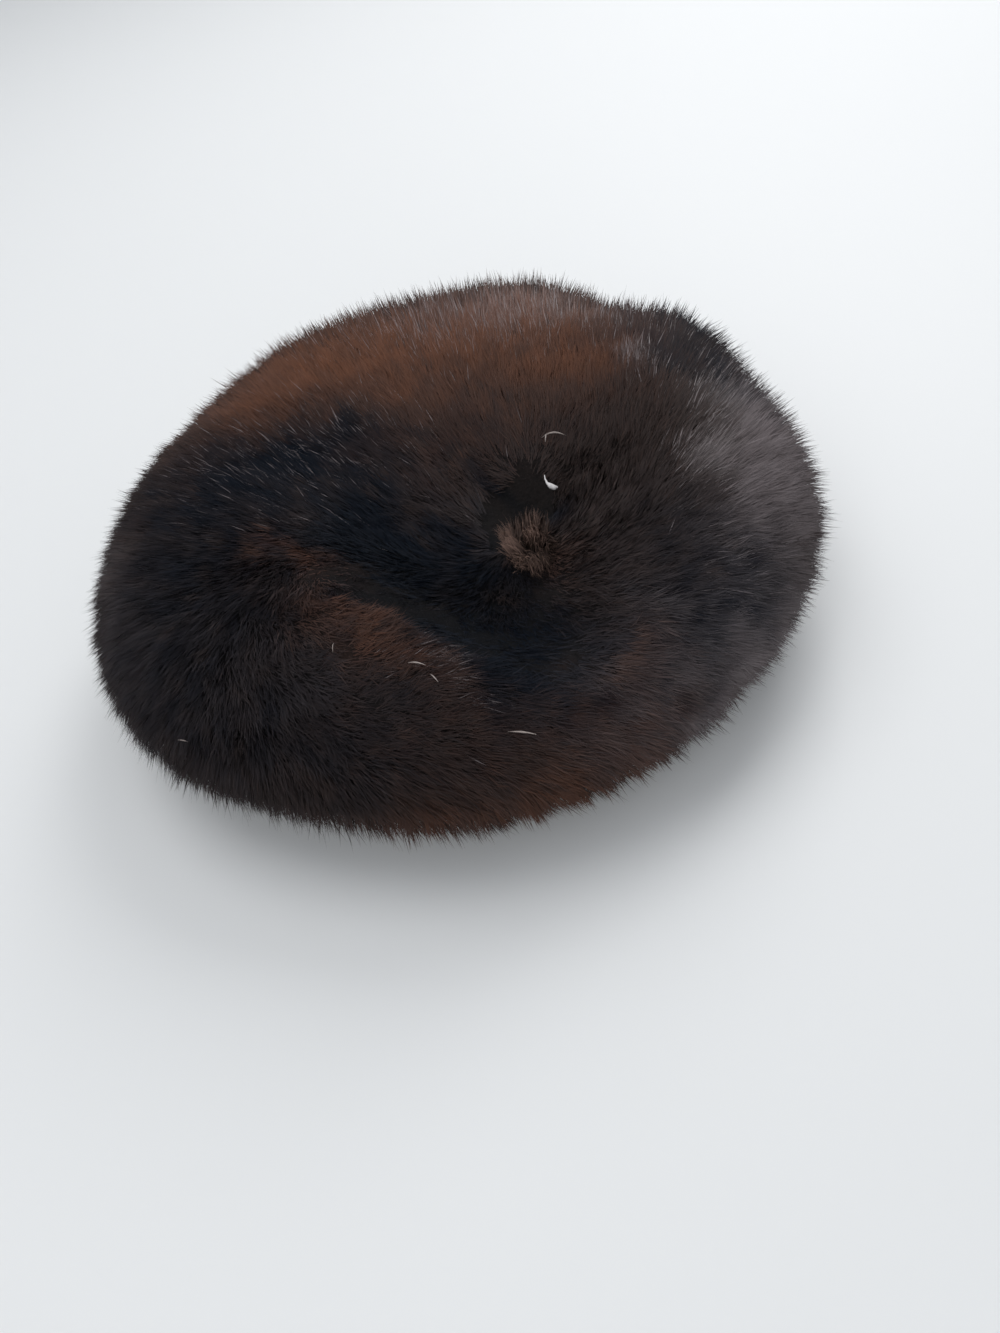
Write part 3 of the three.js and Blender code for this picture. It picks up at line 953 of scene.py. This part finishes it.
# near the parting the painted root shade fades, as if light reached the roots there
BORDER_GLOW = 0.7  # hairs at the parting stay pale down to their roots
TUFT_BORDER = 9.0  # how far round the tuft's middle counts as its border
PARTING_LIMIT = 0.6  # the parting keeps no hair away past here
PARTING_ROUND, PARTING_LEAST = 1.02, 0.05  # how blunt the ends of its leaf shape are
TONE_SPREAD = np.array((0.05, 0.05, 0.01))
GLINT_SPREAD = (0.2, 0.75)


# %% Where the clumps grow
def leaning_out(angle, way):
    """Out of the fur, only part of the way over on the sides of a fold."""
    with_folds, without = directions(angle, way)[2], directions(angle, way, fold_share=0.0)[2]
    return unit(with_folds * FOLD_LEAN + without * (1 - FOLD_LEAN))


def parted(surface, way):
    """Which clumps stand clear of the parting and the tuft, and how near each is to their borders."""
    _, off_parting, share = parting_near(surface)
    round_end = np.clip(PARTING_ROUND - (2 * share - 1) ** 2, PARTING_LEAST, 1)
    leaf = PARTING_WIDTH * np.sqrt(round_end) * (1 + PARTING_RAGGED * PARTING_EDGE(surface))
    off_tuft = np.linalg.norm((surface[:, :2] - TUFT_MIDDLE) / TUFT_REACH, axis=-1)
    kept = ((off_parting > leaf) & (off_tuft > 1)) | (way > PARTING_LIMIT)
    return kept, np.exp(-((np.minimum(off_parting, off_tuft * TUFT_BORDER) / BORDER_REACH) ** 2))


def plant(count, start, end, rng):
    """Clumps spread evenly between two ways, with the lie of the fur at each, and the area there."""
    angle, way, area = even_places(count, start, end, rng)
    surface = surface_mm(angle, way)
    kept, border = parted(surface, way)
    along, out = directions(angle, way)[0], leaning_out(angle, way)
    angle, way, surface, along, out, border = (a[kept] for a in (angle, way, surface, along, out, border))
    flow = combed(angle, way, surface, along, out)
    clumps = {"angle": angle, "way": way, "surface": surface, "border": border, "out": out, "flow": flow}
    clumps["pile"] = section_value(way, "pile")
    clumps["out_ahead"] = leaning_out(angle, np.minimum(way + AHEAD_WAY, AHEAD_LIMIT))
    clumps["side"] = np.cross(out, flow)
    return clumps, area


# %% How the hairs bend
def clump_spread(shape, spread, own, rng):
    """Random angles: one part shared by each clump, and each hair's own."""
    return rng.normal(0, spread / 2, (shape[0], 1)) + rng.normal(0, spread * own, shape)


def hair_lengths(clumps, shape, rng):
    stray = straying(clumps["surface"])[:, None]
    length = HAIR_LENGTH * (1 + rng.normal(0, LENGTH_SPREAD, shape)) - STRAY_SHORTER * stray
    extra = (LONG_EXTRA + STRAY_LONGER * stray) * rng.uniform(*LONG_SPREAD, shape)
    return clumps["pile"][:, None] * (length + extra * (rng.uniform(0, 1, shape) < LONG_SHARE))


def bend_hairs(clumps, shape, rng):
    """Points of each hair from its root to its tip, and its direction at each point."""
    out, flow, side = clumps["out"], clumps["flow"], clumps["side"]
    surface, way = clumps["surface"], clumps["way"]
    draw = rng.uniform(*CLUMP_DRAW, (shape[0], 1))
    offset_along, offset_side = rng.normal(0, CLUMP_SPREAD, (2, *shape))
    length = hair_lengths(clumps, shape, rng)
    swing = clump_spread(shape, SIDE_SPREAD, SIDE_OWN, rng)
    lift_off = clump_spread(shape, LIFT_SPREAD, LIFT_OWN, rng) + LIFT_SWING * LIFT_WAVES(surface)[:, None]
    stand = 1 - (1 - PRESSED_LIFT) * smoothstep(way, PRESSED_START, PRESSED_FULL)
    stand = stand * np.where(way < 1, flattened(surface), 1) * (1 + BORDER_LIFT * clumps["border"])
    shift_along = flow[:, None] * offset_along[..., None]
    shift_side = side[:, None] * offset_side[..., None]
    spine = [(surface - out * (ROOT_DEPTH * clumps["pile"])[:, None])[:, None] + shift_along + shift_side]
    travelled, headings = 0.0, []
    for part in SEGMENT_SHARES:
        middle = travelled + part / 2
        lift = (ROOT_LIFT + (TIP_LIFT - ROOT_LIFT) * middle + lift_off) * stand[:, None]
        turn = swing * (SWING_START + (1 - SWING_START) * middle)
        out_here = unit(out * (1 - FOLLOW * middle) + clumps["out_ahead"] * FOLLOW * middle)
        flow_here = unit(flow - (flow * out_here).sum(-1, keepdims=True) * out_here)
        heading = flow_here[:, None] * np.cos(turn)[..., None] + side[:, None] * np.sin(turn)[..., None]
        heading = heading * np.cos(lift)[..., None] + out_here[:, None] * np.sin(lift)[..., None]
        pull = -(draw * part)[..., None] * (shift_along * CLUMP_DRAW_ALONG + shift_side)
        spine.append(spine[-1] + heading * (length * part)[..., None] + pull)
        headings.append(heading)
        travelled += part
    spine = np.stack(spine, 2)
    lowest = FLOOR_CLEARANCE + rng.uniform(0, FLOOR_SCATTER, shape)
    spine[..., 2] = np.maximum(spine[..., 2], lowest[..., None])
    return spine, np.stack([headings[0], *headings], 2)


# %% Width, shading and tones of the hairs
def turn_ribbons(out, headings, shape, rng):
    """Which way each ribbon is wide, and shading normals that mostly follow the lie of the fur."""
    roll = rng.normal(0, ROLL_SPREAD, shape)[..., None]
    across = unit(np.cross(out[:, None], headings[:, :, -1]))
    wide = across * np.cos(roll) + out[:, None] * np.sin(roll)
    own = unit(np.cross(headings, wide[:, :, None]))
    return wide, unit(out[:, None, None] * (1 - OWN_NORMAL) + own * OWN_NORMAL)


def hair_tones(surface, shape, rng):
    """The three tones of each hair, where single hairs among the rest are painted pale as glints."""
    tones = np.stack([tone_strength(surface, tone) for tone in TONES], -1)
    tones = np.clip(tones[:, None] + rng.normal(0, 1, (*shape, len(TONES))) * TONE_SPREAD, 0, 1)
    glinting = rng.uniform(0, 1, shape) < tone_strength(surface, "glint")[:, None]
    paler = np.maximum(tones[..., 2], rng.uniform(*GLINT_SPREAD, shape))
    tones[..., 2] = np.where(glinting, paler, tones[..., 2])
    return tones


# %% A whole field of hair
def grow(count, start, end, rng):
    """Spines and data of hairs in clumps between two ways of the hat."""
    clumps, area = plant(count, start, end, rng)
    shape = (len(clumps["angle"]), HAIRS_IN_CLUMP)
    spine, headings = bend_hairs(clumps, shape, rng)
    wide, normals = turn_ribbons(clumps["out"], headings, shape, rng)
    strand = rng.uniform(0, 1, shape)
    colour = np.concatenate([hair_tones(clumps["surface"], shape, rng), strand[..., None]], -1)
    depth = np.concatenate([[0.0], np.cumsum(SEGMENT_SHARES)])
    glow = np.repeat(BORDER_GLOW * clumps["border"], HAIRS_IN_CLUMP)

    def by_hair(values):
        return values.reshape(-1, *values.shape[2:])

    return {
        "area": area,
        "angle": np.repeat(clumps["angle"], HAIRS_IN_CLUMP),
        "spine": by_hair(spine),
        "side": by_hair(wide),
        "half_width": HALF_WIDTHS * (WIDTH_SPREAD[0] + WIDTH_SPREAD[1] * by_hair(strand)[:, None]),
        "normal": by_hair(normals),
        "tones": np.repeat(by_hair(colour)[:, None], len(depth), 1),
        "depth": np.maximum(depth[None], glow[:, None]),
    }


# %% Fur material
def make_fur_material():
    """Root in painted shade, glossy body, and a tip that each tone, painted sheen and painted shade among
    them, makes paler or darker.
    """
    material, tree, shader = new_material("guard hair")
    depth = read_attribute(tree, "depth", "Fac")
    strand = read_attribute(tree, "tones", "Alpha")
    # the fur's tones, with their painted shade and painted sheen
    toned = place_toned_colour(tree)
    uneven = place_mottle(tree, 120.0, 3.0, 1.4)
    shades = {0: map_range(tree, strand, 0.94, 1.06), 1: map_range(tree, uneven, 0.86, 1.14)}
    value = new_node(tree, "Math", shades, operation="MULTIPLY").outputs[0]
    body = new_node(tree, "HueSaturation", {"Color": toned, "Value": value}).outputs["Color"]
    root_shade = map_range(tree, depth, 0.8, 1.0, high=0.5)
    split = new_node(tree, "SeparateColor", {"Color": read_attribute(tree, "tones", "Color")})
    fill(shader, {
        "Base Color": mix_colours(tree, root_shade, DEEP_PILE_SHADE, body),
        "Roughness": map_range(tree, strand, 0.4, 0.55),
        "Specular IOR Level": 0.025,
        "Sheen Weight": 0.005,
        "Sheen Roughness": 0.4,
        "Sheen Tint": (0.9, 0.75, 0.72, 1),
        # the painted sheen tone also carries a real glossy coat
        "Coat Weight": map_range(tree, split.outputs["Blue"], 0.0, 0.5),
        "Coat Roughness": 0.32,
    })
    return material


FUR = make_fur_material()

# %% Make the fur
CROWN_CLUMPS = 36800
UNDERSIDE_CLUMPS = 6000
CROWN_PARTS = ("back_right", "back_left", "front_left", "front_right")


def make_strands(name, field, rows, material, slot, *stands_for):
    attributes = {"tones": field["tones"][rows], "depth": field["depth"][rows]}
    parts = [field[key][rows] for key in ("spine", "side", "half_width", "normal")]
    made = add_object(name, strand_mesh(name, *parts, attributes))
    hand_over(made, material, slot, *stands_for)
    print(name, "has", len(rows), "hairs")


crown_field = grow(CROWN_CLUMPS, 0.01, 1.0, np.random.default_rng(5))
print("crown of", round(crown_field["area"] / 100), "cm2, a hair for each",
      round(crown_field["area"] / len(crown_field["angle"]), 2), "mm2")
by_angle = np.argsort(crown_field["angle"], kind="stable")
for part, rows in zip(CROWN_PARTS, np.array_split(by_angle, len(CROWN_PARTS))):
    make_strands(f"crown_pile_{part}", crown_field, rows, FUR, "crown_fur", "crown_fur")
underside_field = grow(UNDERSIDE_CLUMPS, 1.0, 1.99, np.random.default_rng(6))
make_strands("underside_pile", underside_field, np.arange(len(underside_field["angle"])), FUR,
             "underside_fur", "underside_fur")

# %% [markdown]
# ## The tuft, the thread and the flecks
# Where the crown is drawn together a little pale underfur stands out of the parting, in a few soft curls.
# They are made as the guard hairs are, but each curl is a lock of fine hairs with no gloss. It runs from a
# root over a bend to a tip, and is shaded as a part of one soft ball. The thread that draws the crown
# together ends near it, and a few single pale hairs lie loose on the fur: each is a thin tube along an arc.

# %% Tuft of pale underfur
TUFT_CORE = (25.8, -60, 60)  # the tuft is shaded as a soft ball round here
TUFT_LOCKS = table(
    "name root_x root_y root_z bend_x bend_y bend_z tip_x tip_y tip_z hairs paleness",
    ("curl on the left", 24.3, -56, 65, 23.3, -54, 73, 24.3, -50, 74.5, 200, 0.12),
    ("curl in the middle", 26.8, -56, 65, 26.8, -54, 75, 28.8, -50, 76, 220, 0.28),
    ("curl on the right", 29.3, -57, 66, 31.3, -55, 74, 32.3, -53, 74.5, 200, 0.12),
    ("upper lip", 22.8, -56, 65, 20.3, -54, 72, 18.8, -48, 70.5, 260, 0.55),
    ("lip", 22.8, -59, 65, 20.3, -61, 73, 18.3, -56, 71, 280, 0.65),
    ("lower lip", 23.8, -62, 65, 20.8, -68, 73.5, 20.8, -66, 71, 280, 0.6),
    ("front", 25.8, -62, 65.5, 24.8, -70, 74.5, 25.3, -72, 71.5, 300, 0.5),
    ("front right", 28.3, -62, 65, 28.3, -68, 73.5, 29.3, -71, 71.5, 260, 0.15),
    ("right", 29.8, -60, 66, 32.3, -62, 73, 33.3, -64.5, 72.5, 240, 0.18),
    ("middle", 27.3, -59, 66, 27.3, -60, 76, 26.8, -60.5, 76.5, 340, 1.0),
    ("filling", 28.3, -60, 65, 29.3, -60.5, 73, 29.3, -61, 74.5, 320, 0.5),
)
LOCK_RADIUS, LOCK_DRAW = 2.8, 0.8  # round the root, and how much of that is left at the tip
LOCK_ROOT_SHAPE = (1, 1, 0.3)
LOCK_TONE_SPREAD = 0.2
LOCK_RAGGED = 1.2
LOCK_WAYS = (0.0, 0.4, 0.75, 1.0)
TUFT_ROLL = 0.6
TUFT_HALF_WIDTHS = (0.06, 0.1)
PALE_DOWN, PALE_DOWN_SHADE = (0.25, 0.158, 0.126), (0.042, 0.029, 0.025)
PALE_DOWN_ROOT_SHADE = (0.03, 0.022, 0.019)


def lock_place(row, part):
    return np.array([TUFT_LOCKS[f"{part}_{axis}"][row] for axis in "xyz"])


def grow_lock(row, rng):
    """Spines of one curled lock: from a root, over a bend, to a tip."""
    count = TUFT_LOCKS["hairs"][row]
    aside = rng.normal(0, LOCK_RADIUS / 2, (count, 3))
    root = lock_place(row, "root") + aside * LOCK_ROOT_SHAPE
    bend = lock_place(row, "bend") + aside + rng.normal(0, LOCK_RAGGED, (count, 3))
    tip = lock_place(row, "tip") + aside * LOCK_DRAW + rng.normal(0, LOCK_RAGGED, (count, 3))
    spine = [root * (1 - t) ** 2 + bend * 2 * t * (1 - t) + tip * t**2 for t in LOCK_WAYS]
    shade = 1 - TUFT_LOCKS["paleness"][row] + rng.normal(0, LOCK_TONE_SPREAD, count)
    return np.stack(spine, 1), np.clip(shade, 0, 1)


def grow_tuft(rng):
    locks = [grow_lock(row, rng) for row in range(len(TUFT_LOCKS["name"]))]
    spine = np.concatenate([lock[0] for lock in locks])
    shade = np.concatenate([lock[1] for lock in locks])
    count, points = spine.shape[:2]
    round_out = unit(spine - np.array(TUFT_CORE))
    run = unit(spine[:, -1] - spine[:, 1])
    side = unit(np.cross(round_out[:, -1], run) + rng.normal(0, TUFT_ROLL, (count, 3)))
    none = np.zeros(count)
    thin, thick = TUFT_HALF_WIDTHS
    return {
        "spine": spine,
        "side": side,
        "half_width": np.repeat(rng.uniform(thin, thick, (count, 1)), points - 1, 1),
        "normal": round_out,
        "tones": np.repeat(np.stack([none, none, none, shade], -1)[:, None], points, 1),
        "depth": np.repeat(np.array(LOCK_WAYS)[None], count, 0),
    }


def make_tuft_material():
    material, tree, shader = new_material("pale underfur")
    depth = read_attribute(tree, "depth", "Fac")
    strand = read_attribute(tree, "tones", "Alpha")
    tip = mix_colours(tree, map_range(tree, strand, 0.0, 0.95), PALE_DOWN, PALE_DOWN_SHADE)
    uneven = place_mottle(tree, 260.0, 2.0, 2.2)
    tip = mix_colours(tree, map_range(tree, uneven, 0.0, 0.5), tip, PALE_DOWN_SHADE)
    # darker towards the roots: painted shade down inside the tuft
    along = map_range(tree, depth, 0.0, 1.0, low=0.2, high=0.7)
    colour = mix_colours(tree, along, PALE_DOWN_ROOT_SHADE, tip)
    fill(shader, {"Base Color": colour, "Roughness": 0.8, "Specular IOR Level": 0.08})
    return material


tuft_field = grow_tuft(np.random.default_rng(7))
make_strands("gather_tuft", tuft_field, np.arange(len(tuft_field["spine"])), make_tuft_material(),
             "underfur", "crown_tuft")


# %% Thin tubes along arcs
TUBE_ASIDE = (0.2, 0.3, 1.0)  # any direction that no tube runs in


def tube_mesh(name, path, radii, sides=6):
    """Closed tube through points in millimetres, with a radius at each and rounded ends."""
    path = np.array(path, float)
    runs = unit(np.gradient(path, axis=0))
    first = unit(np.cross(runs, TUBE_ASIDE))
    second = np.cross(runs, first)
    turns = np.arange(sides) * 2 * math.pi / sides
    ring = first[:, None] * np.cos(turns)[:, None] + second[:, None] * np.sin(turns)[:, None]
    body = (path[:, None] + ring * np.array(radii)[:, None, None]).reshape(-1, 3)
    corners = np.concatenate([body, path[:1], path[-1:]])
    faces = []
    for row in range(len(path) - 1):
        for k in range(sides):
            here, beside = row * sides + k, row * sides + (k + 1) % sides
            faces.append((here, beside, beside + sides, here + sides))
    start, end, last = len(body), len(body) + 1, len(body) - sides
    for k in range(sides):
        beside = (k + 1) % sides
        faces.append((start, beside, k))
        faces.append((end, last + k, last + beside))
    return smooth_mesh(name, in_frame(corners).tolist(), faces)


def make_thread_material(name, colour, dark):
    material, tree, shader = new_material(name)
    twist = place_mottle(tree, 900.0, 2.0, 1.5)
    fill(shader, {"Base Color": mix_colours(tree, twist, dark, colour), "Roughness": 0.6})
    return material


def make_tube(name, path, radii, material):
    tube = add_object(name, tube_mesh(name, path, radii))
    hand_over(tube, material, "underfur")


# %% Thread end and loose pale hairs
THREAD_WHITE = make_thread_material("white thread", (0.80, 0.78, 0.78), (0.45, 0.43, 0.43))
PALE_HAIR = make_thread_material("pale hair", (0.42, 0.36, 0.33), (0.22, 0.18, 0.17))
THREAD_END = (
    (39.4, -24.6, 70.8), (39.2, -25.9, 70.0), (39.4, -27.6, 69.3),
    (40.3, -29.6, 69.0), (41.4, -30.9, 68.9), (42.5, -31.3, 69.1),
)
THREAD_RADII = (0.12, 0.3, 0.45, 1.05, 0.9, 0.25)
make_tube("thread_end", THREAD_END, THREAD_RADII, THREAD_WHITE)
LOOSE_HAIRS = table(
    "name x y z turn length arch radius",
    ("above_the_gather", 47.2, -11.0, 76.9, -20, 9.3, 2.0, 0.34),
    ("above_the_gather_end", 44.0, -11.8, 77.3, 72, 5.0, 0.5, 0.26),
    ("front", 5.4, -125.5, 57.1, -26, 9.0, 0.6, 0.28),
    ("front_left", -103.0, -85.2, 51.6, -30, 4.0, 0.4, 0.22),
    ("ridge_tip", -19.6, -103.7, 75.8, -30, 6.0, 0.8, 0.24),
    ("ridge_tip_low", -15.6, -108.5, 72.8, -66, 4.5, 0.6, 0.22),
    ("ridge", -43.5, -90.0, 78.7, 80, 4.0, 0.8, 0.13),
)
STEPS_ALONG = np.linspace(-0.5, 0.5, 7)
LOOSE_TAPER = 1.05 - 1.6 * np.abs(STEPS_ALONG)
for name, x, y, z, turn, length, arch, radius in zip(*LOOSE_HAIRS.values()):
    run = np.array((math.cos(math.radians(turn)), math.sin(math.radians(turn)), 0))
    middle = np.array((x, y, z))
    rises = arch * (1 - 4 * STEPS_ALONG**2) - arch / 2
    path = [middle + run * length * step + (0, 0, rise) for step, rise in zip(STEPS_ALONG, rises)]
    make_tube(f"pale_hair_{name}", path, radius * LOOSE_TAPER, PALE_HAIR)
print(len(LOOSE_HAIRS["name"]), "loose hairs")

# %% Sizes and the end
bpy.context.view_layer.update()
triangles = sum(len(p.vertices) - 2 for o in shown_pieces() if o.type == "MESH" for p in o.data.polygons
                if "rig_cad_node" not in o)
print("triangles added:", triangles)
